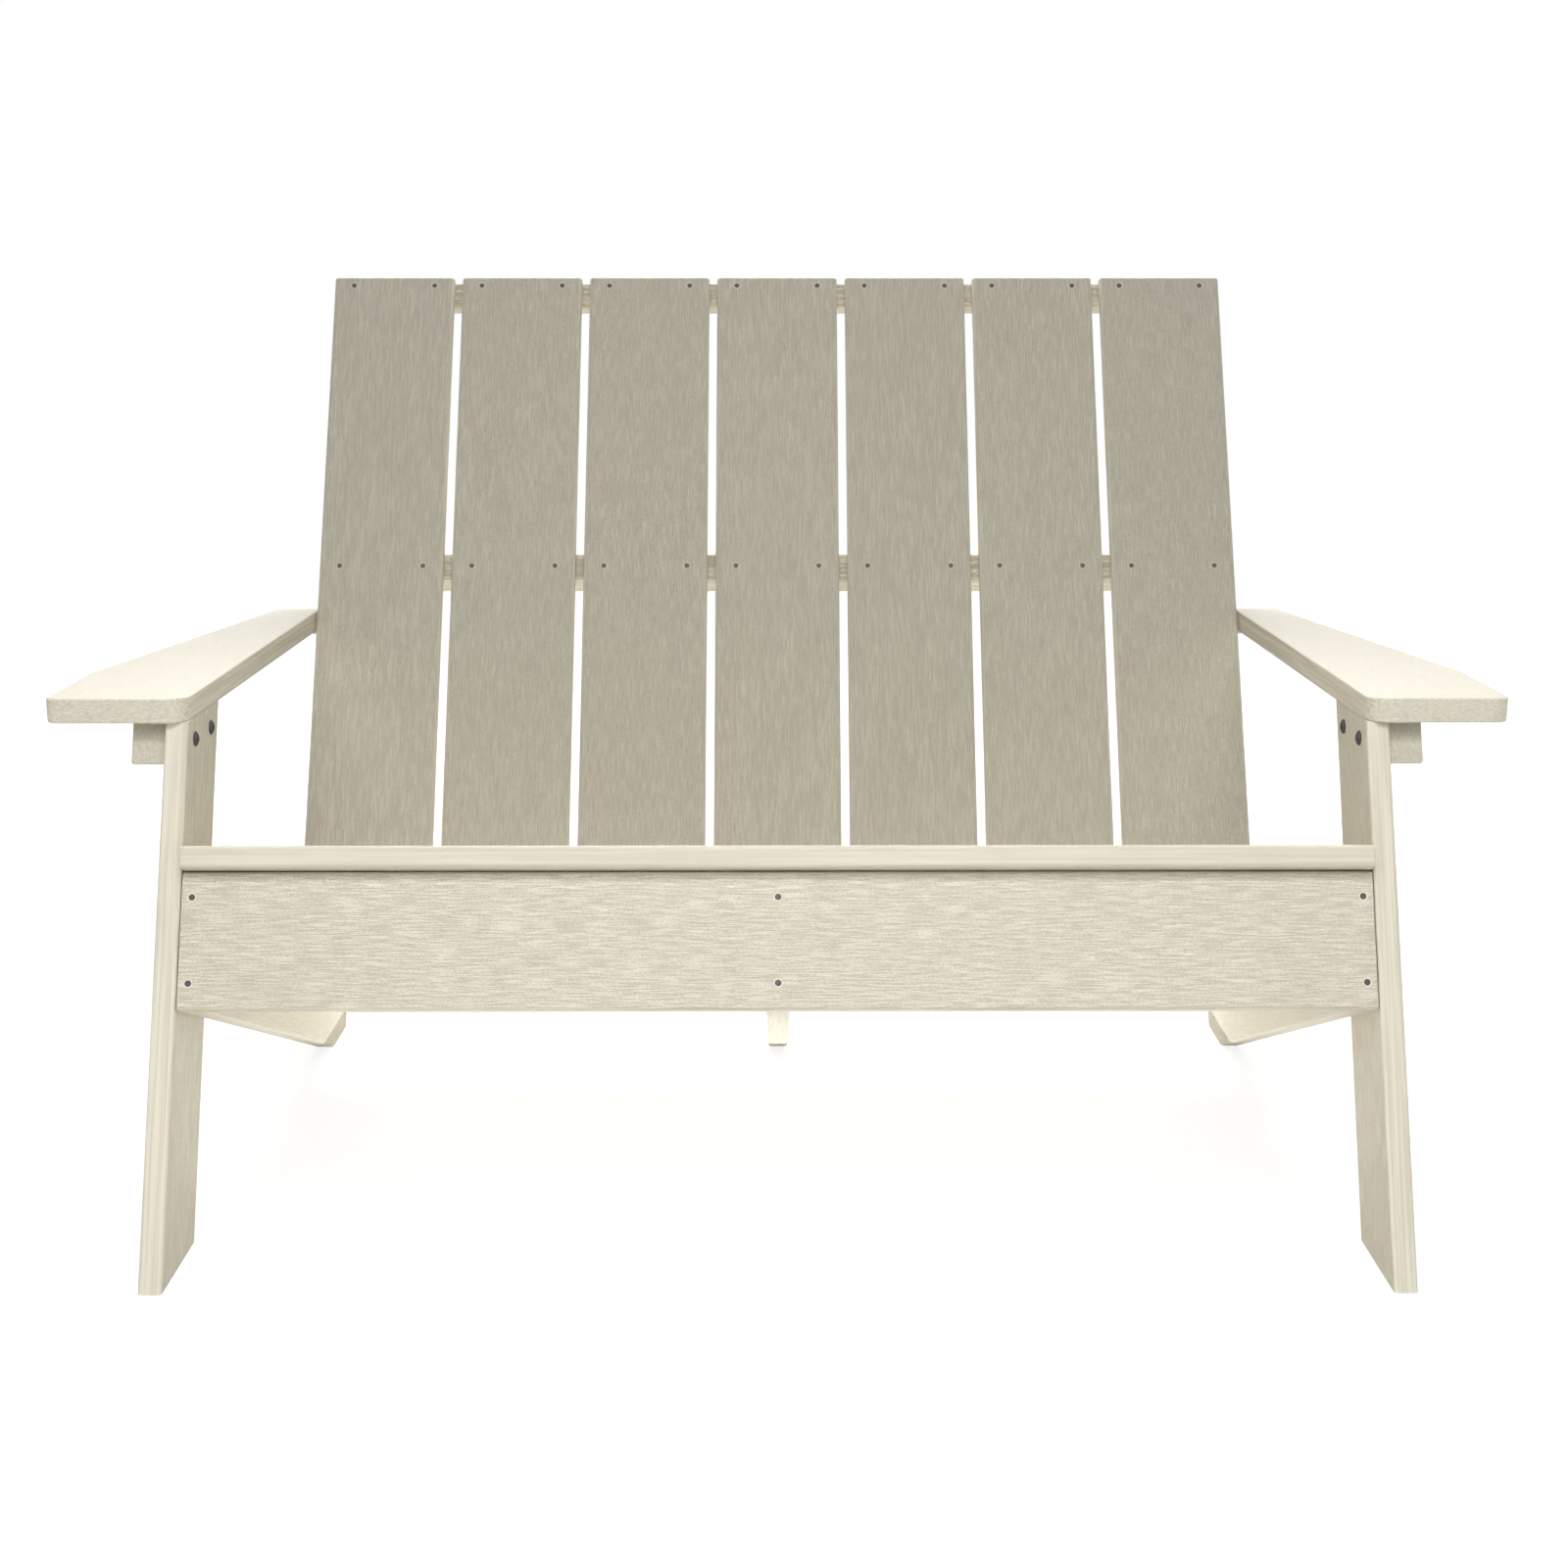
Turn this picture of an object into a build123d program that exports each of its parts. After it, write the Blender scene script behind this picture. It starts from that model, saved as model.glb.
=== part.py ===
from build123d import *
import os
from math import cos, radians, sin, tan

# A two-seat slatted garden bench with a reclined back, built of grained plastic boards.
# Millimetres, +Z up, X across the seat, the front towards -Y. Left and right are as seen
# from the front. The origin is on the floor, under the middle of the bench.

# Angles
rake = radians(22.5)        # legs and apron lean back by this, and the seat falls by it
recline = radians(27)       # the back leans this far from upright

# Board stock
board_t = 20.5              # thickness of the frame and seat boards
board_edge_r = 3            # eased long edges of the frame boards
end_ease = 0.8              # sawn ends are broken by this much
butt_gap = 1.2              # clearance at the end of a board that stands between two others

# Back slats
slat_count = 7
slat_w = 140
slat_t = 13
slat_edge_r = 5
slat_gap = 9.3
slat_side_gap = 2.3         # between an outer slat and the plane of the legs' inner faces
back_top = 846              # height of the slats' upper front edge
back_gap = 5                # between the last seat slat and the back, along the stringers
slat_foot_gap = 2           # between the slats' lower ends and the stringers

# Back rails
rail_h = 31
rail_d = 42
top_rail_d = 19
middle_rail_rise = 44       # up the back, from level with the arms' tops
rail_end_inset = 4          # the rails stop this far inside the back's outer edges
rail_fit = 0.3              # clearance of a rail in its notch, and over the stringers

# Front legs
leg_w = 100
arm_underside = 455.2

# Stringers and apron
stringer_w = 122
stringer_len = 622          # from the apron to the rear end
stringer_tail = 68          # they run on past the uprights by this
rear_foot_len = 71          # flat on the floor at the rear end
apron_drop = 1.2            # the apron's top edge stays this far below the seat

# Seat slats, which fill the stringers in front of the back
seat_count = 5
seat_gap = 6
seat_edge_r = 5
seat_nose = 13              # the first slat overhangs the apron by this

# Arms
arm_w = 125
arm_t = 22
arm_overhang = 6.9          # in front of the legs' front edges
arm_len = 577
arm_straight = 138          # the outer edge runs straight this far, then tapers
arm_tip_w = 47
arm_outer_r = 12
arm_inner_r = 20
arm_taper_r = 60
arm_tip_r = 8
arm_edge_r = 1.6

# Blocks under the arms, outside the legs and as steep as they are
block_t = 31
block_h = 37.2
block_setback = 10.8        # inside the leg's front and rear edges

# Uprights behind the back
upright_w = 100
upright_foot = 42           # their lower ends stop this far above the stringers' lower edges

# Angle brackets that carry the arms' rear ends
bracket_t = 3
bracket_w = 20
bracket_drop = 60
bracket_reach = 60
bracket_gap = 2.5           # behind the back slats, level with the arms' undersides
bracket_screw_shares = (0.33, 0.75)     # of the drop, for the screws in the upright flange

# Flat-head screws
screw_d = 3.5
screw_head_d = 5.5
screw_head_angle = 82
screw_sink = 0.3            # heads sit this far below the face
screw_tip = 3
screw_grip = 24             # length in the piece that a screw bites into
seat_grip = 18              # the same for the seat, clear of the apron's screws
short_grip = 13             # the same where the second piece is thin
screw_fit = 0.12
screw_spacing = 94          # between the two screws of a slat at each rail
top_screw_drop = 10
middle_screw_rise = 12      # from the middle rail's lower face
rail_screw_rise = 7         # from a rail's lower face, clear of the slat screws
apron_screw_spacing = 75
seat_screw_spacing = 53
seat_screw_front = 31       # the first row stays this far behind the apron's face
block_screw_spacing = 30    # between the block's bolts

# Carriage bolts, washers and nuts
bolt_d = 6.4
bolt_head_d = 13.5
bolt_head_h = 3.6
bolt_rim_h = 0.9            # straight edge under the dome
neck_w = 6.8
neck_depth = 3.4
bolt_fit = 0.2
washer_d = 16
washer_t = 1.5
nut_flats = 11
nut_t = 5.4
bolt_proud = 1.5            # thread that shows past the nut
nut_pocket_d = 19
nut_pocket_depth = 9
block_bolt_inset = 27       # from the leg's edges, level with the block's middle
leg_bolt_setback = 56       # from the leg's front edge
leg_bolt_inset = 40         # from the stringer's edges
upright_bolt_inset = 26     # from the upright's edges
upright_bolt_rise = 20      # from the edges of its lap on the stringer

overrun = 5                 # cuts run past a face by this

os.makedirs("parts", exist_ok=True)

# Sizes that follow
back_w = slat_count * slat_w + (slat_count - 1) * slat_gap
inner_w = back_w + 2 * slat_side_gap
inner_x = inner_w / 2
outer_x = inner_x + board_t
between_w = inner_w - 2 * butt_gap
arm_top = arm_underside + arm_t
lean = recline - rake

# The raked frame, along the seat from the toes and along the legs: the stringers come down to
# the floor at the rear, and the back stands on them in front of the uprights
stringer_end = board_t + stringer_len
stringer_low = (stringer_end - rear_foot_len * cos(rake)) * tan(rake)
stringer_high = stringer_low + stringer_w
back_start = stringer_end - stringer_tail - (slat_t + upright_w) / cos(lean)
seat_w = (back_start - back_gap + seat_nose - (seat_count - 1) * seat_gap) / seat_count

# The foot of the back's front face behind and above the toes, then distances up that face
foot_y = back_start * cos(rake) + stringer_high * sin(rake)
foot_z = stringer_high * cos(rake) - back_start * sin(rake)
slat_top = (back_top - foot_z) / cos(recline)
arm_level = (arm_top - foot_z) / cos(recline)

# The toes' place in Y puts the origin under the middle of the whole depth, which runs from
# the toes to the rounded upper edge of the top rail
rear_round = board_edge_r * (1 - sin(recline) - cos(recline))
rear_reach = foot_y + slat_top * sin(recline) + (slat_t + top_rail_d) * cos(recline) + rear_round
toe_y = -rear_reach / 2

# Planes: side views of the raked frame and of the back, then faces seen from the front
toe_side = Plane(origin=(0, toe_y, 0), x_dir=(0, 1, 0), z_dir=(1, 0, 0))
rake_side = Plane(origin=(0, toe_y, 0), x_dir=(0, cos(rake), -sin(rake)), z_dir=(1, 0, 0))
back_side = Plane(
    origin=(0, toe_y + foot_y, foot_z),
    x_dir=(0, cos(recline), -sin(recline)),
    z_dir=(1, 0, 0),
)
apron_face = Plane(origin=(0, toe_y, 0), x_dir=(1, 0, 0), z_dir=(0, -cos(rake), sin(rake)))
seat_plane = Plane(
    origin=(0, toe_y + stringer_high * sin(rake), stringer_high * cos(rake)),
    x_dir=(1, 0, 0),
    z_dir=(0, sin(rake), cos(rake)),
)
back_face = Plane(
    origin=(0, toe_y + foot_y, foot_z),
    x_dir=(1, 0, 0),
    z_dir=(0, -cos(recline), sin(recline)),
)
leg_axis = Axis((0, 0, 0), (0, sin(rake), cos(rake)))
seat_axis = Axis((0, 0, 0), (0, cos(rake), -sin(rake)))
back_axis = Axis((0, 0, 0), (0, sin(recline), cos(recline)))


def back_rise(along_leg, behind):
    """Distance up the back of a line parallel to the seat, at a depth behind its front face."""
    return (along_leg - stringer_high + behind * sin(lean)) / cos(lean)


def places(plane, points):
    """Locations on a plane, from points in its own coordinates."""
    return [plane.location * Location((x, y, 0)) for x, y in points]


def keep(part, label):
    """Label a finished piece and write it."""
    part.label = label
    export_step(part, f"parts/{label}.step")


def ease_ends(part, axis):
    """Break the outline edges of the two sawn ends of a board."""
    ends = part.faces().filter_by(axis).sort_by(axis)
    chamfer(ends[0].edges() + ends[-1].edges(), length=end_ease)


# Heights on the back
slat_foot = back_rise(stringer_high, slat_t) + slat_foot_gap
rail_back = slat_t + rail_d
middle_rail_low = arm_level + middle_rail_rise
lower_rail_low = back_rise(stringer_high, rail_back) + rail_fit
rail_len = back_w - 2 * rail_end_inset
slat_pitch = slat_w + slat_gap
slat_xs = [(i - (slat_count - 1) / 2) * slat_pitch for i in range(slat_count)]

# Sideways places: stringers stand inside the legs, uprights inside the outer stringers
stringer_x = inner_x - board_t
sides = {"left": -1, "right": 1}
stringer_centers = [-inner_x + board_t / 2, 0, inner_x - board_t / 2]
upright_starts = {"left": -stringer_x, "center": board_t / 2, "right": stringer_x - board_t}

# Screw places
screw_pair = [-screw_spacing / 2, screw_spacing / 2]
slat_screw_xs = [x + dx for x in slat_xs for dx in screw_pair]
top_screw_u = slat_top - top_screw_drop
middle_screw_u = middle_rail_low + middle_screw_rise
lower_screw_u = lower_rail_low + rail_h / 2
apron_mid = stringer_low + stringer_w / 2
apron_screw_ns = [apron_mid - apron_screw_spacing / 2, apron_mid + apron_screw_spacing / 2]
apron_screw_places = places(apron_face, [(x, n) for x in stringer_centers for n in apron_screw_ns])
seat_starts = [i * (seat_w + seat_gap) - seat_nose for i in range(seat_count)]
seat_top = seat_plane.offset(board_t)


def seat_screw_points(start):
    """Screw points of the seat slat that starts at this distance down the seat."""
    middle = start + seat_w / 2
    rows = [max(middle - seat_screw_spacing / 2, seat_screw_front), middle + seat_screw_spacing / 2]
    return [(x, y) for x in stringer_centers for y in rows]


seat_screw_places = places(seat_top, [p for start in seat_starts for p in seat_screw_points(start)])
slat_screw_len = slat_t + short_grip
board_screw_len = board_t + screw_grip
seat_screw_len = board_t + seat_grip
bracket_screw_len = bracket_t + short_grip


def screw_solid(length):
    """A flat-head screw whose head is at the origin and whose point is at -length."""
    head_r = screw_head_d / 2
    cone = (head_r - screw_d / 2) / tan(radians(screw_head_angle / 2))
    with BuildPart() as screw:
        with BuildSketch(Plane.XZ):
            with BuildLine():
                Polyline(
                    (0, -screw_sink),
                    (head_r, -screw_sink),
                    (screw_d / 2, -screw_sink - cone),
                    (screw_d / 2, screw_tip - length),
                    (0, -length),
                    close=True,
                )
            make_face()
        revolve(axis=Axis.Z)
    return screw.part


def cut_screw_seats(spots, depth):
    """Countersunk clearance holes through a board."""
    with Locations(*spots):
        CounterSinkHole(
            radius=screw_d / 2 + screw_fit,
            counter_sink_radius=screw_head_d / 2 + screw_fit + screw_sink,
            depth=depth,
            counter_sink_angle=screw_head_angle,
        )


def cut_pilots(spots, length):
    """Blind holes for screws that start at these places, a little deeper than their points."""
    with Locations(*spots):
        Hole(radius=screw_d / 2 + screw_fit, depth=length + screw_tip)


# Front legs: raked boards on edge, cut level at the floor and under the arms
leg_run = leg_w / cos(rake)
leg_shift = arm_underside * tan(rake)
block_low = arm_underside - block_h
block_mid = arm_underside - block_h / 2
block_bolt_ys = [
    block_mid * tan(rake) + block_bolt_inset,
    block_mid * tan(rake) + leg_run - block_bolt_inset,
]
leg_bolt_points = [
    (leg_bolt_setback, stringer_low + leg_bolt_inset),
    (leg_bolt_setback, stringer_high - leg_bolt_inset),
]


def bolt_places(plane, x, facing, points):
    """Places for bolt heads on a side face at x, facing -X or +X."""
    spots = []
    for a, b in points:
        spot = plane.from_local_coords(Vector(a, b, 0))
        head = Plane(
            origin=(x, spot.Y, spot.Z),
            x_dir=(0, plane.x_dir.Y, plane.x_dir.Z),
            z_dir=(facing, 0, 0),
        )
        spots.append(head.location)
    return spots


def block_bolt_places(sign):
    """Heads on the leg's inner face."""
    return bolt_places(toe_side, sign * inner_x, -sign, [(y, block_mid) for y in block_bolt_ys])


def leg_bolt_places(sign):
    """Heads on the leg's outer face."""
    return bolt_places(rake_side, sign * outer_x, sign, leg_bolt_points)


def beyond(spots, depth):
    """The same places, moved along the fasteners by a depth."""
    return [spot * Location((0, 0, -depth)) for spot in spots]


def cut_bolt_bores(spots, grip):
    """Bores for carriage bolts, with the square seats of their necks."""
    with Locations(*spots):
        Cylinder(
            radius=bolt_d / 2 + bolt_fit,
            height=grip + overrun,
            align=(Align.CENTER, Align.CENTER, Align.MAX),
            mode=Mode.SUBTRACT,
        )
        Box(
            neck_w + 2 * bolt_fit,
            neck_w + 2 * bolt_fit,
            neck_depth + bolt_fit,
            align=(Align.CENTER, Align.CENTER, Align.MAX),
            mode=Mode.SUBTRACT,
        )


lap_grip = 2 * board_t
block_grip = board_t + block_t - nut_pocket_depth
for side, sign in sides.items():
    with BuildPart() as leg:
        with BuildSketch(toe_side.offset(sign * inner_x)):
            with BuildLine():
                Polyline(
                    (0, 0),
                    (leg_run, 0),
                    (leg_run + leg_shift, arm_underside),
                    (leg_shift, arm_underside),
                    close=True,
                )
            make_face()
        extrude(amount=sign * board_t)
        fillet(leg.edges().filter_by(leg_axis), radius=board_edge_r)
        cut_bolt_bores(block_bolt_places(sign), block_grip)
        cut_bolt_bores(leg_bolt_places(sign), lap_grip)
    keep(leg.part, f"leg_{side}")

# Stringers: raked boards on edge from the apron down to their own feet at the rear
def lap_point(along_leg, behind):
    """A point of the back frame in the raked side view, given its height along the legs."""
    u = back_rise(along_leg, behind)
    return (back_start + u * sin(lean) + behind * cos(lean), along_leg)


upright_bolt_points = [
    lap_point(stringer_high - upright_bolt_rise, slat_t + upright_bolt_inset),
    lap_point(stringer_low + upright_foot + upright_bolt_rise, slat_t + upright_w - upright_bolt_inset),
]
upright_bolt_places = {
    "left": bolt_places(rake_side, -inner_x, -1, upright_bolt_points),
    "center": bolt_places(rake_side, -board_t / 2, -1, upright_bolt_points),
    "right": bolt_places(rake_side, inner_x, 1, upright_bolt_points),
}
for name, center in zip(("left", "center", "right"), stringer_centers):
    with BuildPart() as stringer:
        with BuildSketch(rake_side.offset(center - board_t / 2)):
            with BuildLine():
                Polyline(
                    (board_t, stringer_low),
                    (stringer_low / tan(rake), stringer_low),
                    (stringer_end, stringer_end * tan(rake)),
                    (stringer_end, stringer_high),
                    (board_t, stringer_high),
                    close=True,
                )
            make_face()
        extrude(amount=board_t)
        fillet(stringer.edges().filter_by(seat_axis), radius=board_edge_r)
        cut_pilots(apron_screw_places, board_screw_len)
        cut_pilots(seat_screw_places, seat_screw_len)
        cut_bolt_bores(upright_bolt_places[name], lap_grip)
        if name in sides:
            cut_bolt_bores(leg_bolt_places(sides[name]), lap_grip)
    keep(stringer.part, f"stringer_{name}")

# Apron: closes the stringers' front ends, between the legs and flush with their front edges
apron_w = stringer_w - apron_drop
with BuildPart() as apron:
    with BuildSketch(rake_side.offset(-between_w / 2)):
        with Locations((board_t / 2, stringer_low + apron_w / 2)):
            RectangleRounded(board_t, apron_w, board_edge_r)
    extrude(amount=between_w)
    ease_ends(apron.part, Axis.X)
    cut_screw_seats(apron_screw_places, board_t + overrun)
keep(apron.part, "apron")

# Seat slats: the first one overhangs the apron
for index, start in enumerate(seat_starts, 1):
    with BuildPart() as seat_slat:
        with BuildSketch(rake_side.offset(-between_w / 2)):
            with Locations((start + seat_w / 2, stringer_high + board_t / 2)):
                RectangleRounded(seat_w, board_t, seat_edge_r)
        extrude(amount=between_w)
        ease_ends(seat_slat.part, Axis.X)
        cut_screw_seats(places(seat_top, seat_screw_points(start)), board_t + overrun)
    keep(seat_slat.part, f"seat_slat_{index}")

# Back slats
slat_section = Plane(
    origin=back_face.from_local_coords(Vector(0, slat_foot, 0)),
    x_dir=(1, 0, 0),
    z_dir=back_axis.direction,
)
for index, x in enumerate(slat_xs, 1):
    with BuildPart() as back_slat:
        with BuildSketch(slat_section):
            with Locations((x, slat_t / 2)):
                RectangleRounded(slat_w, slat_t, slat_edge_r)
        extrude(amount=slat_top - slat_foot)
        ease_ends(back_slat.part, back_axis)
        points = [
            (x + dx, u) for dx in screw_pair for u in (top_screw_u, middle_screw_u, lower_screw_u)
        ]
        cut_screw_seats(places(back_face, points), slat_t + overrun)
    keep(back_slat.part, f"back_slat_{index}")

# Back rails, behind the slats
rail_lows = {"top": slat_top - rail_h, "middle": middle_rail_low, "lower": lower_rail_low}
rail_depths = {"top": top_rail_d, "middle": rail_d, "lower": rail_d}
rail_screw_us = {"top": top_screw_u, "middle": middle_screw_u, "lower": lower_screw_u}
upright_mids = [x + board_t / 2 for x in upright_starts.values()]
rail_lag_places = {
    name: places(back_face.offset(-slat_t), [(x, rail_lows[name] + rail_screw_rise) for x in upright_mids])
    for name in ("middle", "lower")
}
rail_lag_len = rail_d + screw_grip
for name, low in rail_lows.items():
    depth = rail_depths[name]
    with BuildPart() as rail:
        with BuildSketch(back_side.offset(-rail_len / 2)):
            with Locations((slat_t + depth / 2, low + rail_h / 2)):
                RectangleRounded(depth, rail_h, board_edge_r)
        extrude(amount=rail_len)
        ease_ends(rail.part, Axis.X)
        cut_pilots(places(back_face, [(x, rail_screw_us[name]) for x in slat_screw_xs]), slat_screw_len)
        if name in rail_lag_places:
            cut_screw_seats(rail_lag_places[name], rail_d + overrun)
    keep(rail.part, f"{name}_rail")

# Uprights: notched for the lower rail, with a shoulder under the middle one
upright_back = slat_t + upright_w
foot_line = stringer_low + upright_foot
slat_rear_y = foot_y + (arm_underside - foot_z) * tan(recline) + slat_t / cos(recline)
bracket_y = toe_y + slat_rear_y + bracket_gap + bracket_w / 2


def bracket_side_places(sign):
    """Screws through the bracket's upright flange, heads facing outwards."""
    x = sign * (stringer_x + bracket_t)
    heights = [arm_underside - bracket_drop * share for share in bracket_screw_shares]
    return bolt_places(toe_side, x, sign, [(bracket_y - toe_y, z) for z in heights])


for name, start in upright_starts.items():
    with BuildPart() as upright:
        with BuildSketch(back_side.offset(start)):
            with BuildLine():
                Polyline(
                    (slat_t, back_rise(foot_line, slat_t)),
                    (slat_t, lower_rail_low - rail_fit),
                    (rail_back + rail_fit, lower_rail_low - rail_fit),
                    (rail_back + rail_fit, lower_rail_low + rail_h + rail_fit),
                    (slat_t, lower_rail_low + rail_h + rail_fit),
                    (slat_t, middle_rail_low),
                    (rail_back, middle_rail_low),
                    (rail_back, middle_rail_low + rail_h),
                    (upright_back, middle_rail_low + rail_h),
                    (upright_back, back_rise(foot_line, upright_back)),
                    close=True,
                )
            make_face()
        extrude(amount=board_t)
        for spots in rail_lag_places.values():
            cut_pilots(spots, rail_lag_len)
        cut_bolt_bores(upright_bolt_places[name], lap_grip)
        if name in sides:
            cut_pilots(bracket_side_places(sides[name]), bracket_screw_len)
    keep(upright.part, f"upright_{name}")

# Arms: straight outer edge, then a taper to the narrow rear end
arm_y0 = toe_y + leg_shift - arm_overhang
block_y = toe_y + block_mid * tan(rake) + leg_run / 2


def bracket_arm_places(sign):
    """Screws up through the bracket's level flange, heads facing down."""
    spots = []
    for x in (inner_x + screw_head_d, stringer_x + bracket_reach - screw_head_d):
        head = Plane(
            origin=(sign * x, bracket_y, arm_underside - bracket_t),
            x_dir=(1, 0, 0),
            z_dir=(0, 0, -1),
        )
        spots.append(head.location)
    return spots


def block_screw_places(sign):
    """Screws up through the block into the arm, heads facing down."""
    spots = []
    for dy in (-block_screw_spacing / 2, block_screw_spacing / 2):
        head = Plane(
            origin=(sign * (outer_x + block_t / 2), block_y + dy, block_low),
            x_dir=(1, 0, 0),
            z_dir=(0, 0, -1),
        )
        spots.append(head.location)
    return spots


block_screw_len = block_h + short_grip
for side, sign in sides.items():
    with BuildPart() as arm:
        with BuildSketch(Plane.XY.offset(arm_underside)):
            with BuildLine():
                FilletPolyline(
                    (sign * inner_x, arm_y0),
                    (sign * (inner_x + arm_w), arm_y0),
                    (sign * (inner_x + arm_w), arm_y0 + arm_straight),
                    (sign * (inner_x + arm_tip_w), arm_y0 + arm_len),
                    (sign * inner_x, arm_y0 + arm_len),
                    radius=[arm_inner_r, arm_outer_r, arm_taper_r, arm_tip_r, arm_tip_r],
                    close=True,
                )
            make_face()
        extrude(amount=arm_t)
        rims = arm.faces().filter_by(Axis.Z)
        fillet(rims.edges(), radius=arm_edge_r)
        cut_pilots(block_screw_places(sign), block_screw_len)
        cut_pilots(bracket_arm_places(sign), bracket_screw_len)
    keep(arm.part, f"arm_{side}")

# Blocks under the arms: bolted to the middles of the legs, with pockets for the nuts
block_run = leg_run - 2 * block_setback
block_low_y = block_low * tan(rake) + block_setback
block_high_y = leg_shift + block_setback
for side, sign in sides.items():
    with BuildPart() as arm_block:
        with BuildSketch(toe_side.offset(sign * outer_x)):
            with BuildLine():
                Polyline(
                    (block_low_y, block_low),
                    (block_low_y + block_run, block_low),
                    (block_high_y + block_run, arm_underside),
                    (block_high_y, arm_underside),
                    close=True,
                )
            make_face()
        extrude(amount=sign * block_t)
        fillet(arm_block.edges().filter_by(Axis.Y), radius=board_edge_r)
        ease_ends(arm_block.part, seat_axis)
        cut_screw_seats(block_screw_places(sign), block_h + overrun)
        cut_bolt_bores(block_bolt_places(sign), board_t + block_t)
        with Locations(*beyond(block_bolt_places(sign), block_grip)):
            Cylinder(
                radius=nut_pocket_d / 2,
                height=nut_pocket_depth + overrun,
                align=(Align.CENTER, Align.CENTER, Align.MAX),
                mode=Mode.SUBTRACT,
            )
    keep(arm_block.part, f"arm_block_{side}")

# Angle brackets: from the uprights' outer faces out under the arms
for side, sign in sides.items():
    with BuildPart() as bracket:
        with BuildSketch(Plane.XZ.offset(-bracket_y - bracket_w / 2)):
            with BuildLine():
                Polyline(
                    (sign * stringer_x, arm_underside),
                    (sign * (stringer_x + bracket_reach), arm_underside),
                    (sign * (stringer_x + bracket_reach), arm_underside - bracket_t),
                    (sign * (stringer_x + bracket_t), arm_underside - bracket_t),
                    (sign * (stringer_x + bracket_t), arm_underside - bracket_drop),
                    (sign * stringer_x, arm_underside - bracket_drop),
                    close=True,
                )
            make_face()
        extrude(amount=bracket_w)
        corner = (sign * stringer_x, bracket_y, arm_underside)
        fillet(bracket.edges().filter_by(Axis.Y).sort_by_distance(corner)[0], radius=bracket_t)
        cut_screw_seats(bracket_side_places(sign) + bracket_arm_places(sign), bracket_t + overrun)
    keep(bracket.part, f"arm_bracket_{side}")


def carriage_bolt(length):
    """A bolt with a domed head above the origin, a square neck and a shank below it."""
    head_r = bolt_head_d / 2
    crown = bolt_head_h - bolt_rim_h
    dome_r = (head_r**2 + crown**2) / (2 * crown)
    with BuildPart() as bolt:
        with BuildSketch(Plane.XZ):
            with BuildLine():
                Polyline((0, bolt_head_h), (0, 0), (head_r, 0), (head_r, bolt_rim_h))
                RadiusArc((head_r, bolt_rim_h), (0, bolt_head_h), -dome_r)
            make_face()
        revolve(axis=Axis.Z)
        Box(neck_w, neck_w, neck_depth, align=(Align.CENTER, Align.CENTER, Align.MAX))
        Cylinder(radius=bolt_d / 2, height=length, align=(Align.CENTER, Align.CENTER, Align.MAX))
    return bolt.part


# Fasteners: one node for each kind, as separate solids
bolt_tail = washer_t + nut_t + bolt_proud
both_sides = list(sides.values())
block_bolt_spots = [spot for sign in both_sides for spot in block_bolt_places(sign)]
lap_bolt_spots = [spot for sign in both_sides for spot in leg_bolt_places(sign)]
lap_bolt_spots += [spot for spots in upright_bolt_places.values() for spot in spots]
washer_spots = beyond(block_bolt_spots, block_grip) + beyond(lap_bolt_spots, lap_grip)

with BuildPart() as washer:
    with BuildSketch():
        Circle(washer_d / 2)
        Circle(bolt_d / 2 + bolt_fit, mode=Mode.SUBTRACT)
    extrude(amount=-washer_t)

with BuildPart() as nut:
    with BuildSketch(Plane.XY.offset(-washer_t)):
        RegularPolygon(radius=nut_flats / 2, side_count=6, major_radius=False)
        Circle(bolt_d / 2 + screw_fit, mode=Mode.SUBTRACT)
    extrude(amount=-nut_t)

bracket_spots = [
    spot for sign in both_sides for spot in bracket_side_places(sign) + bracket_arm_places(sign)
]
slat_screw_us = (top_screw_u, middle_screw_u, lower_screw_u)
slat_screw_places = places(back_face, [(x, u) for x in slat_screw_xs for u in slat_screw_us])
rail_spots = [spot for spots in rail_lag_places.values() for spot in spots]
under_arm_spots = [spot for sign in both_sides for spot in block_screw_places(sign)]
fasteners = {
    "arm_block_bolts": (carriage_bolt(block_grip + bolt_tail), block_bolt_spots),
    "lap_bolts": (carriage_bolt(lap_grip + bolt_tail), lap_bolt_spots),
    "bolt_washers": (washer.part, washer_spots),
    "bolt_nuts": (nut.part, washer_spots),
    "slat_screws": (screw_solid(slat_screw_len), slat_screw_places),
    "apron_screws": (screw_solid(board_screw_len), apron_screw_places),
    "seat_screws": (screw_solid(seat_screw_len), seat_screw_places),
    "rail_screws": (screw_solid(rail_lag_len), rail_spots),
    "block_screws": (screw_solid(block_screw_len), under_arm_spots),
    "bracket_screws": (screw_solid(bracket_screw_len), bracket_spots),
}
for label, (solid, spots) in fasteners.items():
    with BuildPart() as group:
        with Locations(*spots):
            add(solid)
    keep(group.part, label)
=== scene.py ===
from collections import namedtuple
from math import cos, pi, radians, sin

import bmesh
import bpy
from mathutils import Matrix, Vector


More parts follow.
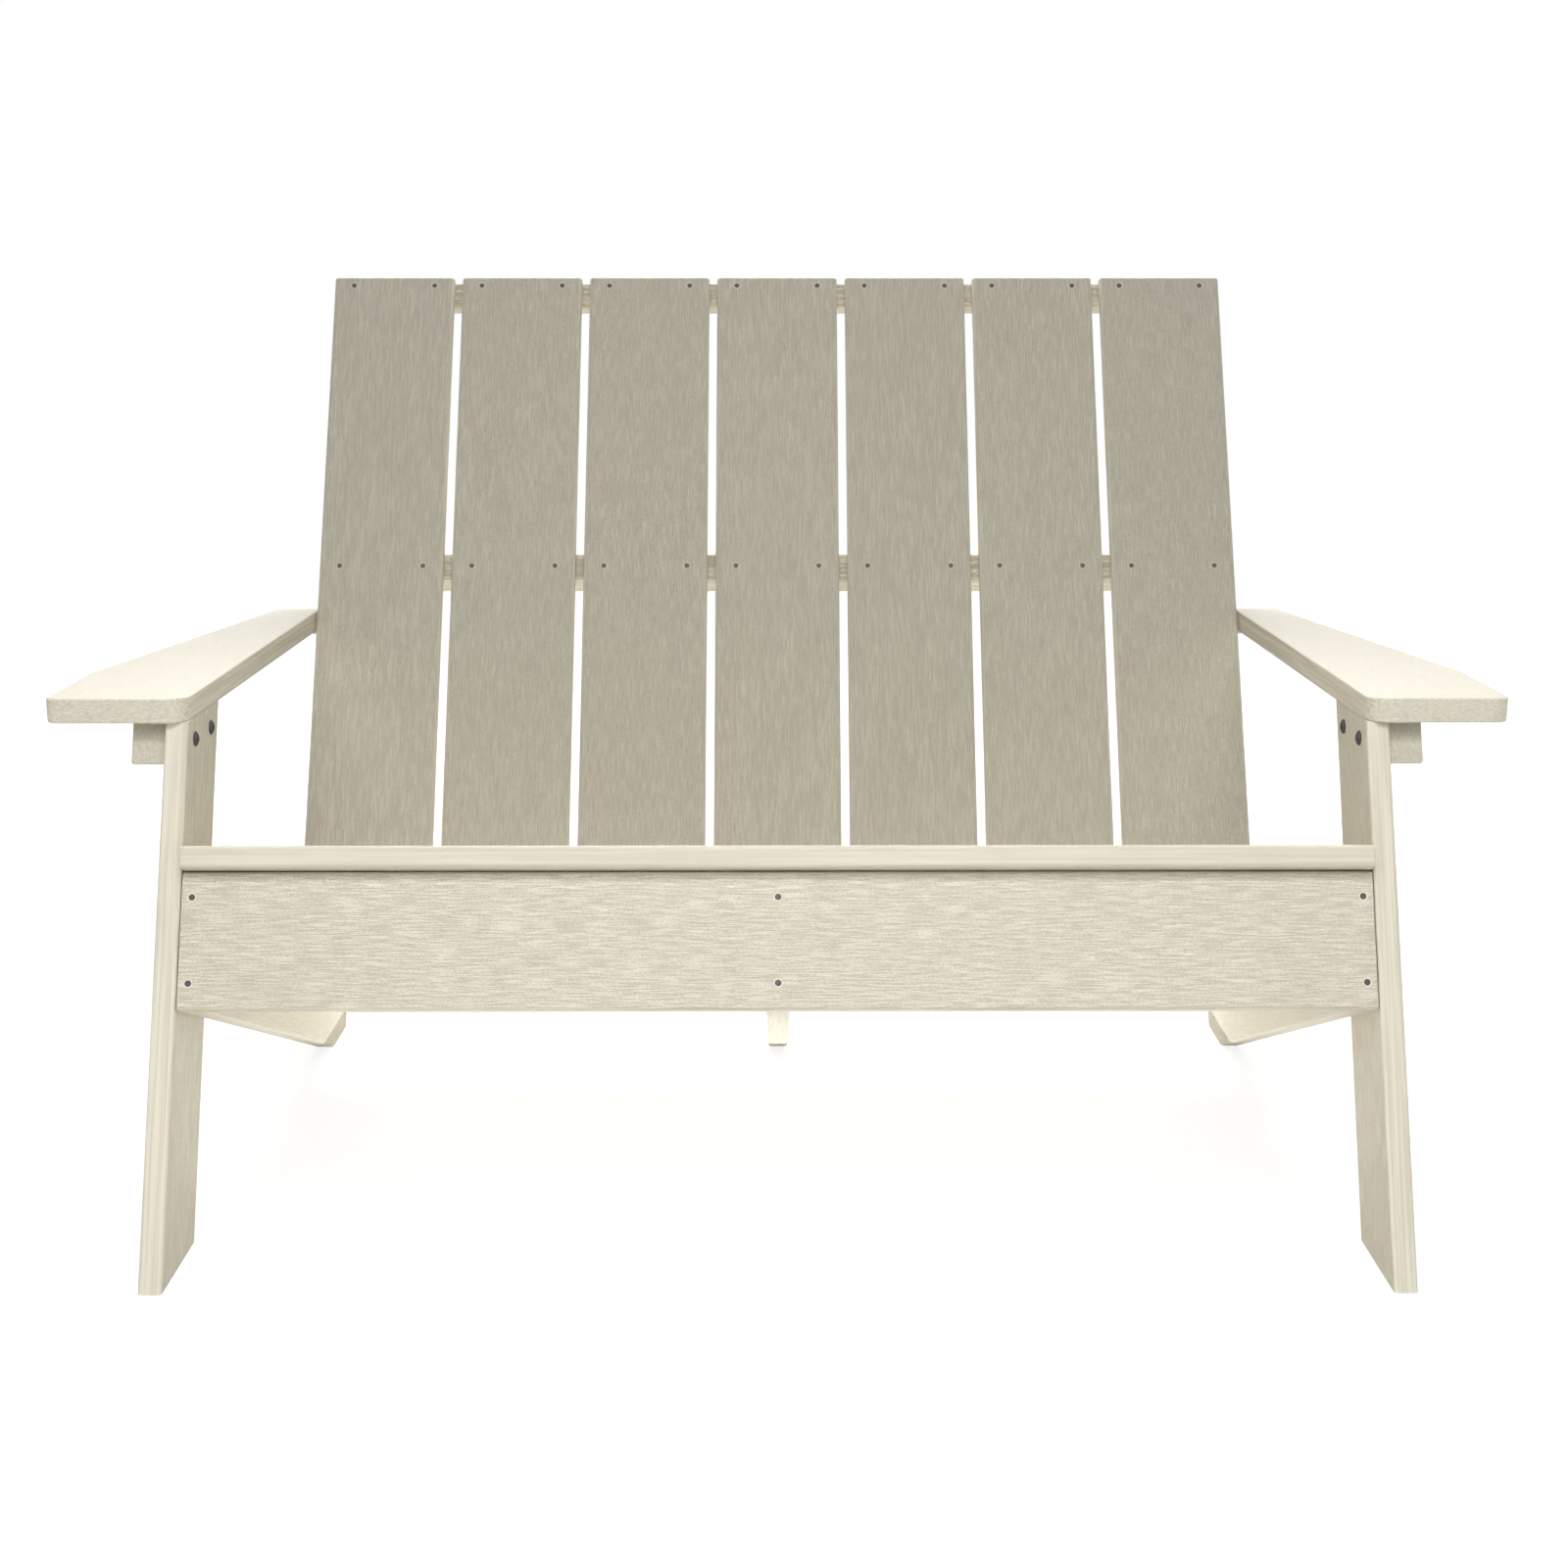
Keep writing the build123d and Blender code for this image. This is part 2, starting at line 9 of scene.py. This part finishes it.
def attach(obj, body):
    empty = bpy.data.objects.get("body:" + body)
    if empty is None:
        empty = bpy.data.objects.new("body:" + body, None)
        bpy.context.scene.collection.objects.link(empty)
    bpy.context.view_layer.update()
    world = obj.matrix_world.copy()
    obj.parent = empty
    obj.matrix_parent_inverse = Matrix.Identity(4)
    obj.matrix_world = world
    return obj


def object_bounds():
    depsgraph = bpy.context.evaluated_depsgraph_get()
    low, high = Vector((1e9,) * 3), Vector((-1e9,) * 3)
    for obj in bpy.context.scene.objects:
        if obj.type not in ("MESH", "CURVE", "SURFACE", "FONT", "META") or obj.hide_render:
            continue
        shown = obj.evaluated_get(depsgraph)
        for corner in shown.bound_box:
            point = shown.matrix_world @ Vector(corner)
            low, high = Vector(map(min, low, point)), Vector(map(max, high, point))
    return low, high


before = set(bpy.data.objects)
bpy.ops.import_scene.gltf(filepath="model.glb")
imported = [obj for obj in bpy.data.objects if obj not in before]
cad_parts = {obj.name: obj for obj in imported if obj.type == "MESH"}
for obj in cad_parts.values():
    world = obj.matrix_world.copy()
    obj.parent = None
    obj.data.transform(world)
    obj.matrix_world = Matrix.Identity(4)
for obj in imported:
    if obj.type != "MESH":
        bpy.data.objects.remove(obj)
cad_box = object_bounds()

# Looks for the slatted bench: embossed cream plastic boards, dark screws and bolts, a plain
# white studio and the photograph's camera. Metres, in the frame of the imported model.

# Directions of the boards and of their wide faces
RAKE = radians(22.5)
RECLINE = radians(27)
ACROSS = Vector((1, 0, 0))
REARWARDS = Vector((0, 1, 0))
UP = Vector((0, 0, 1))
UP_LEG = Vector((0, sin(RAKE), cos(RAKE)))
DOWN_SEAT = Vector((0, cos(RAKE), -sin(RAKE)))
APRON_FACE = Vector((0, -cos(RAKE), sin(RAKE)))
UP_BACK = Vector((0, sin(RECLINE), cos(RECLINE)))
BACK_FACE = Vector((0, -cos(RECLINE), sin(RECLINE)))

# Board colours: wide faces from GROOVE to CREAM, narrow ones from EDGE_DARK to CREAM, ends from
# SAWN_DARK to SAWN, and the rings round the screws from CREAM to RIM
CREAM = (0.80, 0.755, 0.625)
GROOVE = (0.56, 0.515, 0.41)
EDGE_DARK = (0.63, 0.585, 0.47)
SAWN_DARK = (0.60, 0.555, 0.445)
SAWN = (0.83, 0.785, 0.65)
RIM = (0.86, 0.83, 0.73)

# Noises of the grain: their fineness along, across and through the board, detail and roughness.
# Where a band is given, the values that far round the middle are spread from nought to one
Noise = namedtuple("Noise", "fineness detail roughness band", defaults=(2.0, 0.55, None))
SLOW_BEND = Noise((6, 24, 24))
QUICK_BEND = Noise((70, 120, 120))
STRANDS = Noise((36, 760, 760), 1.5, 0.5, 0.11)
SPECKLE = Noise((480, 1050, 1050), 1.0, 0.55, 0.16)
LINES = Noise((5, 360, 360), 2.5, 0.6, 0.16)
SAW_MARKS = Noise((420, 200, 640), 3.0, 0.68, 0.23)
PATCHES = Noise((16, 50, 50))

# How far the strands wander, and how the noises add up
SLOW_REACH = 0.006
QUICK_REACH = 0.0014
STRAND_SHARE = 0.58
PATCH_DEPTH = 0.07
BOARD_ROUGHNESS = 0.62
STRAND_POLISH = 0.10
SHIFT_PER_BOARD = (0.37, 0.61, 0.23)

# The emboss of wide faces, and the lower one of lines and saw marks
EMBOSS_DEPTH = 0.0006
LINE_RELIEF = 0.35
SAW_RELIEF = 0.5

# How squarely a face has to look through or along the board, to count as wide or as an end:
# from the first number not at all, to the second one fully
SQUARENESS = (0.80, 0.97)

# Each kind of board, in the order in which a node's name is tried: its directions along and
# through the wide faces, the contrast of its grain and of the lines on its narrow faces, its
# tone and its emboss
Board = namedtuple(
    "Board", "along through contrast lines tone emboss fineness gloss", defaults=(1.0, 0.32)
)
BOARDS = {
    "leg": Board(UP_LEG, ACROSS, 0.75, 0.8, 0.965, 0.9),
    "stringer": Board(DOWN_SEAT, ACROSS, 0.3, 0.7, 0.985, 0.5),
    "apron": Board(ACROSS, APRON_FACE, 1.15, 1.0, 0.975, 1.0),
    "seat_slat": Board(ACROSS, UP_LEG, 0.8, 0.5, 0.925, 0.8),
    "back_slat": Board(UP_BACK, BACK_FACE, 0.8, 1.0, 1.0, 1.0, fineness=1.2),
    "rail": Board(ACROSS, BACK_FACE, 1.8, 1.0, 0.935, 1.0, fineness=0.4),
    "upright": Board(UP_BACK, ACROSS, 0.4, 1.0, 0.965, 0.5),
    # The arm blocks' low tone is painted shade: the shadow that the arm above casts on them,
    # darkened into their colour
    "arm_block": Board(REARWARDS, ACROSS, 0.6, 1.0, 0.75, 0.6),
    "arm": Board(REARWARDS, UP, 0.15, 1.1, 0.905, 0.15, fineness=1.2, gloss=0.9),
}

# Metals, speckled from the dark colour to the light one
Metal = namedtuple("Metal", "dark light metallic roughness fineness")
METALS = {
    "coated_steel": Metal((0.05, 0.048, 0.046), (0.095, 0.092, 0.088), 0.35, 0.34, 900),
    "bolt_steel": Metal((0.06, 0.06, 0.063), (0.09, 0.088, 0.094), 0.4, 0.12, 700),
    "bracket_steel": Metal((0.40, 0.40, 0.41), (0.52, 0.52, 0.53), 1.0, 0.30, 500),
}
METAL_DETAIL = 3.0
METAL_UNEVENNESS = 0.2
METAL_BUMP = 0.08
METAL_BUMP_DEPTH = 0.0002

# How a node's name starts or ends, and its metal
METAL_STARTS = {"arm_bracket": "bracket_steel"}
METAL_ENDS = {
    "screws": "coated_steel",
    "bolts": "bolt_steel",
    "nuts": "bolt_steel",
    "washers": "bolt_steel",
}

# Directions in which the visible screw heads face
HEADS = {
    "apron_screws": APRON_FACE,
    "slat_screws": BACK_FACE,
    "seat_screws": UP_LEG,
}

# Screw heads: how deep they sit, and how far below its top a head's vertices still count
SCREW_SINK = 0.0003
HEAD_TOP_BAND = 0.0001
WELD = 1e-6                 # vertices this close are one

# The ring of plastic that a driven screw presses up round its head, as pairs of radius and
# height from the countersink's edge outwards
RIM_INNER = 0.0032
RIM_OUTER = 0.0041
RIM_HEIGHT = 0.00012
RIM_PROFILE = (
    (RIM_INNER, 0),
    (RIM_INNER + RIM_HEIGHT, RIM_HEIGHT),
    ((RIM_INNER + RIM_OUTER) / 2, RIM_HEIGHT),
    (RIM_OUTER, 0),
)
RIM_SIDES = 28
RIM_ROUGHNESS = 0.42
RIM_UNEVENNESS = 0.15
RIM_SPECKLE = 1500

# Photograph: a square of this many pixels, with the lens and camera fitted to the bench's edges
PHOTO_PX = 1600
FOCAL_PX = 2200
SENSOR_MM = 36
CAMERA_AHEAD = 1.682        # in front of the toes
CAMERA_HEIGHT = 0.8145
CAMERA_SIDE = -0.0018
CAMERA_DOWN = radians(12.52)
CAMERA_TURN = radians(0.22)

# Soft boxes above, behind and in front, with weak ones low down, under the seat and beside it
Lamp = namedtuple("Lamp", "place target size watts spread", defaults=(pi,))
LAMPS = {
    "top_rear": Lamp((0, 1.7, 2.2), (0, 0.1, 0.4), (2.6, 1.2), 67),
    "top_front": Lamp((0, -1.7, 2.4), (0, 0, 0.4), (2.6, 1.2), 28),
    "front": Lamp((0, -2.1, 1.5), (0, -0.2, 0.3), (1.2, 0.8), 8.5),
    "top_grid": Lamp((0, -1.0, 1.7), (0, -0.5, 0.25), (2.2, 0.3), 2.1, radians(50)),
    "front_low": Lamp((0, -1.05, 0.36), (0, -0.45, 0.30), (1.2, 0.2), 1.1),
    "under_seat": Lamp((0, 0.10, 0.02), (0, 0.10, 1), (1.0, 0.8), 2.1),
    "rear": Lamp((0, 2.2, 0.5), (0, 0, 0.2), (3.2, 0.9), 7.5),
    "left": Lamp((-2.4, -0.4, 0.7), (0, 0, 0.4), (1.6, 1.2), 4),
    "right": Lamp((2.4, -0.4, 0.7), (0, 0, 0.4), (1.6, 1.2), 4),
}

# The studio as it looks, and as it lights the bench
WORLD_SEEN = 1.0
WORLD_LIGHT = 0.04
FLOOR_REACH = 9
FLOOR_DROP = 0.0004
FLOOR_GLOW = 0.83
FLOOR_GLOW_FAR = 0.19       # added from FLOOR_NEAR to FLOOR_FAR
FLOOR_NEAR = 0.8
FLOOR_FAR = 2.4
FLOOR_SEEN = (0.3, 0.3, 0.3)
FLOOR_BOUNCE = (0.86, 0.86, 0.85)
WHITE = (1, 1, 1)


class Tree:
    """A node tree with short ways to add and join nodes."""

    def __init__(self, tree):
        self.nodes = tree.nodes
        self.links = tree.links

    def add(self, kind, inputs=None, **settings):
        node = self.nodes.new(kind)
        for name, setting in settings.items():
            setattr(node, name, setting)
        for key, given in (inputs or {}).items():
            self.give(node.inputs[key], given)
        return node

    def give(self, socket, given):
        if isinstance(given, bpy.types.NodeSocket):
            self.links.new(given, socket)
        else:
            socket.default_value = given

    def math(self, operation, *given, clamp=False):
        node = self.add("ShaderNodeMath", operation=operation, use_clamp=clamp)
        for socket, item in zip(node.inputs, given):
            self.give(socket, item)
        return node.outputs["Value"]

    def vector(self, operation, inputs):
        return self.add("ShaderNodeVectorMath", inputs, operation=operation).outputs["Vector"]

    def parts(self, vector):
        """The three numbers of a vector."""
        return self.add("ShaderNodeSeparateXYZ", {0: vector}).outputs

    def spread(self, value, low, high):
        """Value from low to high, smoothly from nought to one."""
        inputs = {"Value": value, "From Min": low, "From Max": high}
        node = self.add("ShaderNodeMapRange", inputs, interpolation_type="SMOOTHSTEP")
        return node.outputs["Result"]

    def contrast(self, value, strength):
        """Value drawn towards the middle, or away from it where the strength is over one."""
        middle = self.math("SUBTRACT", value, 0.5)
        return self.math("MULTIPLY_ADD", middle, strength, 0.5, clamp=True)

    def mix(self, share, first, second):
        """A mix of two numbers."""
        return self.add("ShaderNodeMix", {0: share, 2: first, 3: second}).outputs[0]

    def mix_colours(self, share, first, second):
        """A mix of two colours, whose sockets come after those for numbers and vectors."""
        node = self.add("ShaderNodeMix", data_type="RGBA")
        self.give(node.inputs[0], share)
        self.give(node.inputs[6], first)
        self.give(node.inputs[7], second)
        return node.outputs[2]

    def noise(self, vector, kind):
        inputs = {
            "Vector": self.vector("MULTIPLY", {0: vector, 1: kind.fineness}),
            "Scale": 1.0,
            "Detail": kind.detail,
            "Roughness": kind.roughness,
        }
        value = self.add("ShaderNodeTexNoise", inputs).outputs["Fac"]
        if kind.band:
            value = self.spread(value, 0.5 - kind.band, 0.5 + kind.band)
        return value

    def speckle(self, fineness, detail=2.0):
        """Even noise in the object's own space."""
        place = self.add("ShaderNodeTexCoord").outputs["Object"]
        return self.noise(place, Noise((fineness,) * 3, detail))

    def shown(self):
        """One for what the camera sees, also in reflections, and nought for light that bounces."""
        path = self.add("ShaderNodeLightPath").outputs
        seen = self.math("MAXIMUM", path["Is Camera Ray"], path["Is Transmission Ray"])
        return self.math("MAXIMUM", seen, path["Is Glossy Ray"])


def colour(rgb):
    return (*rgb, 1.0)


def new_material(name):
    """A material with its node tree and its shader."""
    material = bpy.data.materials.new(name)
    material.use_nodes = True
    tree = Tree(material.node_tree)
    return material, tree, tree.nodes["Principled BSDF"]


def new_object(name, data):
    """An object in the scene."""
    made = bpy.data.objects.new(name, data)
    bpy.context.scene.collection.objects.link(made)
    return made


def mesh_object(name, mesh, material):
    """An object in the scene, made from a bmesh."""
    data = bpy.data.meshes.new(name)
    mesh.to_mesh(data)
    mesh.free()
    data.materials.append(material)
    return new_object(name, data)


def grain_sockets(group):
    """The numbers that each board gives to the grain, and what the grain gives back."""
    for name, kind in (
        ("Turn", "Vector"),
        ("Shift", "Vector"),
        ("Fineness", "Float"),
        ("Contrast", "Float"),
        ("Lines", "Float"),
        ("Tone", "Float"),
        ("Emboss", "Float"),
    ):
        group.interface.new_socket(name, in_out="INPUT", socket_type=f"NodeSocket{kind}")
    for name, kind in (("Color", "Color"), ("Roughness", "Float"), ("Normal", "Vector")):
        group.interface.new_socket(name, in_out="OUTPUT", socket_type=f"NodeSocket{kind}")


def board_place(t, given):
    """A place on the board, along X, across Y and through Z, and shares of wide face and end."""

    def turned(vector):
        inputs = {"Vector": vector, "Rotation": given["Turn"]}
        node = t.add("ShaderNodeVectorRotate", inputs, rotation_type="EULER_XYZ")
        return node.outputs["Vector"]

    coord = t.add("ShaderNodeTexCoord").outputs
    moved = t.vector("ADD", {0: turned(coord["Object"]), 1: given["Shift"]})
    place = t.vector("SCALE", {0: moved, "Scale": given["Fineness"]})
    facing = t.parts(turned(coord["Normal"]))
    wide = t.spread(t.math("ABSOLUTE", facing["Z"]), *SQUARENESS)
    end = t.spread(t.math("ABSOLUTE", facing["X"]), *SQUARENESS)
    return place, wide, end


def strand_grain(t, place):
    """Strands that wander across the board and lie closer in some places than in others."""
    slow = t.math("SUBTRACT", t.noise(place, SLOW_BEND), 0.5)
    quick = t.math("SUBTRACT", t.noise(place, QUICK_BEND), 0.5)
    slow = t.math("MULTIPLY", slow, SLOW_REACH)
    quick = t.math("MULTIPLY", quick, QUICK_REACH)
    wander = t.math("ADD", slow, quick)
    x, y, z = t.parts(place)
    parts = {"X": x, "Y": t.math("ADD", y, wander), "Z": z}
    bent = t.add("ShaderNodeCombineXYZ", parts).outputs[0]
    strands = t.math("MULTIPLY", t.noise(bent, STRANDS), STRAND_SHARE)
    speckle = t.math("MULTIPLY", t.noise(bent, SPECKLE), 1 - STRAND_SHARE)
    return t.math("ADD", strands, speckle)


def grain_group():
    """Embossed wood grain on wide faces, drawn lines on narrow ones and a sawn texture on ends."""
    group = bpy.data.node_groups.new("board_grain", "ShaderNodeTree")
    grain_sockets(group)
    t = Tree(group)
    given = t.add("NodeGroupInput").outputs
    place, wide, end = board_place(t, given)

    grain = strand_grain(t, place)
    lines = t.noise(place, LINES)
    sawn = t.noise(place, SAW_MARKS)
    patches = t.noise(place, PATCHES)

    cream = colour(CREAM)
    faces = t.mix_colours(t.contrast(grain, given["Contrast"]), colour(GROOVE), cream)
    narrow = t.mix_colours(t.contrast(lines, given["Lines"]), colour(EDGE_DARK), cream)
    cut = t.mix_colours(sawn, colour(SAWN_DARK), colour(SAWN))
    whole = t.mix_colours(wide, t.mix_colours(end, narrow, cut), faces)
    value = t.math("MULTIPLY_ADD", patches, PATCH_DEPTH, given["Tone"])
    toned = t.add("ShaderNodeHueSaturation", {"Color": whole, "Value": value})

    drawn = t.math("MULTIPLY", lines, LINE_RELIEF)
    rough = t.math("MULTIPLY", sawn, SAW_RELIEF)
    height = t.mix(wide, t.mix(end, drawn, rough), grain)
    relief = {"Height": height, "Strength": given["Emboss"], "Distance": EMBOSS_DEPTH}
    bump = t.add("ShaderNodeBump", relief)

    out = t.add("NodeGroupOutput").inputs
    t.give(out["Color"], toned.outputs["Color"])
    t.give(out["Roughness"], t.math("MULTIPLY_ADD", grain, -STRAND_POLISH, BOARD_ROUGHNESS))
    t.give(out["Normal"], bump.outputs["Normal"])
    return group


def board_material(name, grain, index, board):
    """A board's own material, with the grain turned to the board and shifted by its index."""
    across = board.through.cross(board.along)
    material, t, shader = new_material(name)
    turned = {
        "Turn": Matrix((board.along, across, board.through)).to_euler("XYZ"),
        "Shift": tuple(step * index for step in SHIFT_PER_BOARD),
        "Fineness": board.fineness,
        "Contrast": board.contrast,
        "Lines": board.lines,
        "Tone": board.tone,
        "Emboss": board.emboss,
    }
    group = t.add("ShaderNodeGroup", node_tree=grain)
    for key, number in turned.items():
        group.inputs[key].default_value = number
    t.give(shader.inputs["Base Color"], group.outputs["Color"])
    t.give(shader.inputs["Roughness"], group.outputs["Roughness"])
    t.give(shader.inputs["Normal"], group.outputs["Normal"])
    shader.inputs["Specular IOR Level"].default_value = board.gloss
    return material


def metal_material(name, metal):
    """Coated or brushed metal with a slightly uneven finish."""
    material, t, shader = new_material(name)
    speckle = t.speckle(metal.fineness, METAL_DETAIL)
    base = t.mix_colours(speckle, colour(metal.dark), colour(metal.light))
    uneven = t.math("MULTIPLY_ADD", speckle, METAL_UNEVENNESS, metal.roughness)
    relief = {"Height": speckle, "Strength": METAL_BUMP, "Distance": METAL_BUMP_DEPTH}
    bump = t.add("ShaderNodeBump", relief)
    t.give(shader.inputs["Base Color"], base)
    t.give(shader.inputs["Roughness"], uneven)
    t.give(shader.inputs["Normal"], bump.outputs["Normal"])
    shader.inputs["Metallic"].default_value = metal.metallic
    return material


def rim_material():
    """Pale, slightly polished plastic."""
    material, t, shader = new_material("pressed_plastic")
    speckle = t.speckle(RIM_SPECKLE)
    uneven = t.math("MULTIPLY_ADD", speckle, RIM_UNEVENNESS, RIM_ROUGHNESS)
    t.give(shader.inputs["Base Color"], t.mix_colours(speckle, colour(CREAM), colour(RIM)))
    t.give(shader.inputs["Roughness"], uneven)
    return material


def metal_of(name):
    """The metal of a node, or None for a board."""
    for start, metal in METAL_STARTS.items():
        if name.startswith(start):
            return metal
    for end, metal in METAL_ENDS.items():
        if name.endswith(end):
            return metal
    return None


def board_of(name):
    """The board of a node, whose name starts or ends with its kind."""
    kinds = (kind for kind in BOARDS if name.startswith(kind) or name.endswith(kind))
    return BOARDS[next(kinds)]


def dress(nodes):
    """Gives every CAD node its material."""
    grain = grain_group()
    metals = {name: metal_material(name, metal) for name, metal in METALS.items()}
    for index, (name, node) in enumerate(sorted(nodes.items())):
        material = metals.get(metal_of(name))
        if material is None:
            material = board_material(f"board_{name}", grain, index, board_of(name))
        for slot in node.material_slots:
            slot.material = material


def solids_of(mesh):
    """The vertices' places in each separate solid of a mesh."""
    seen = set()
    for start in mesh.verts:
        if start in seen:
            continue
        seen.add(start)
        grown = [start]
        places = []
        while grown:
            vert = grown.pop()
            places.append(vert.co.copy())
            for other in (edge.other_vert(vert) for edge in vert.link_edges):
                if other not in seen:
                    seen.add(other)
                    grown.append(other)
        yield places


def head_places(node, facing):
    """Centres of the screw heads in a node, one for each of its solids."""
    mesh = bmesh.new()
    mesh.from_mesh(node.data)
    bmesh.ops.remove_doubles(mesh, verts=mesh.verts, dist=WELD)
    centres = []
    for places in solids_of(mesh):
        top = max(co.dot(facing) for co in places)
        head = [co for co in places if co.dot(facing) > top - HEAD_TOP_BAND]
        centres.append(sum(head, Vector()) / len(head))
    mesh.free()
    return centres


def add_rim(mesh, centre, facing):
    """The ring of plastic round one screw head."""
    side = facing.orthogonal().normalized()
    other = facing.cross(side)
    rings = []
    for radius, height in RIM_PROFILE:
        middle = centre + facing * (SCREW_SINK + height)
        angles = (2 * pi * i / RIM_SIDES for i in range(RIM_SIDES))
        spots = (middle + (side * cos(a) + other * sin(a)) * radius for a in angles)
        rings.append([mesh.verts.new(spot) for spot in spots])
    for inner, outer in zip(rings, rings[1:]):
        for i in range(RIM_SIDES):
            j = (i + 1) % RIM_SIDES
            mesh.faces.new((inner[i], outer[i], outer[j], inner[j]))


def screw_rims(name, node, facing, material):
    """The rings of plastic round all the screw heads of a node."""
    mesh = bmesh.new()
    for centre in head_places(node, facing):
        add_rim(mesh, centre, facing)
    piece = mesh_object(name, mesh, material)
    for polygon in piece.data.polygons:
        polygon.use_smooth = True
    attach(piece, "root")


def add_camera():
    """The photograph's camera."""
    data = bpy.data.cameras.new("camera")
    data.sensor_width = SENSOR_MM
    data.lens = FOCAL_PX / PHOTO_PX * SENSOR_MM
    camera = new_object("camera", data)
    toes = cad_box[0].y
    camera.location = (CAMERA_SIDE, toes - CAMERA_AHEAD, CAMERA_HEIGHT)
    camera.rotation_euler = (pi / 2 - CAMERA_DOWN, 0, -CAMERA_TURN)
    bpy.context.scene.camera = camera


def add_lamp(name, lamp):
    """A soft box that looks at its target and isn't seen itself."""
    data = bpy.data.lights.new(name, "AREA")
    data.shape = "RECTANGLE"
    data.size, data.size_y = lamp.size
    data.energy = lamp.watts
    data.spread = lamp.spread
    light = new_object(name, data)
    look = Vector(lamp.target) - Vector(lamp.place)
    light.location = lamp.place
    light.rotation_euler = look.to_track_quat("-Z", "Y").to_euler()
    light.visible_camera = False


def add_world():
    """A white background for the camera and for reflections, and a plain weak light otherwise."""
    world = bpy.data.worlds.new("studio")
    bpy.context.scene.world = world
    world.use_nodes = True
    t = Tree(world.node_tree)
    t.nodes.clear()
    strength = t.mix(t.shown(), WORLD_LIGHT, WORLD_SEEN)
    light = t.add("ShaderNodeBackground", {"Color": colour(WHITE), "Strength": strength})
    out = t.add("ShaderNodeOutputWorld")
    t.give(out.inputs["Surface"], light.outputs[0])


def floor_material():
    """Nearly white for the camera, with a faint shadow, and pale for the light that bounces."""
    material, t, _ = new_material("floor")
    t.nodes.clear()
    spot = t.add("ShaderNodeNewGeometry").outputs["Position"]
    far = t.add("ShaderNodeVectorMath", {0: spot}, operation="LENGTH").outputs["Value"]
    away = t.spread(far, FLOOR_NEAR, FLOOR_FAR)
    strength = t.math("MULTIPLY_ADD", away, FLOOR_GLOW_FAR, FLOOR_GLOW)
    glow = t.add("ShaderNodeEmission", {"Color": colour(WHITE), "Strength": strength})
    paint = t.add("ShaderNodeBsdfDiffuse", {"Color": colour(FLOOR_SEEN)})
    bright = t.add("ShaderNodeAddShader", {0: glow.outputs[0], 1: paint.outputs[0]})
    plain = t.add("ShaderNodeBsdfDiffuse", {"Color": colour(FLOOR_BOUNCE)})
    shaders = {0: t.shown(), 1: plain.outputs[0], 2: bright.outputs[0]}
    both = t.add("ShaderNodeMixShader", shaders)
    out = t.add("ShaderNodeOutputMaterial")
    t.give(out.inputs["Surface"], both.outputs[0])
    return material


def add_floor():
    """A plain pale floor just under the feet."""
    mesh = bmesh.new()
    bmesh.ops.create_grid(mesh, x_segments=1, y_segments=1, size=FLOOR_REACH)
    floor = mesh_object("floor", mesh, floor_material())
    floor.location.z = cad_box[0].z - FLOOR_DROP


dress(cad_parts)
pressed = rim_material()
for screws, facing in HEADS.items():
    screw_rims(screws.replace("screws", "rims"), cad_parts[screws], facing, pressed)
add_camera()
for name, lamp in LAMPS.items():
    add_lamp(name, lamp)
add_world()
add_floor()
bpy.context.scene.view_settings.view_transform = "Standard"
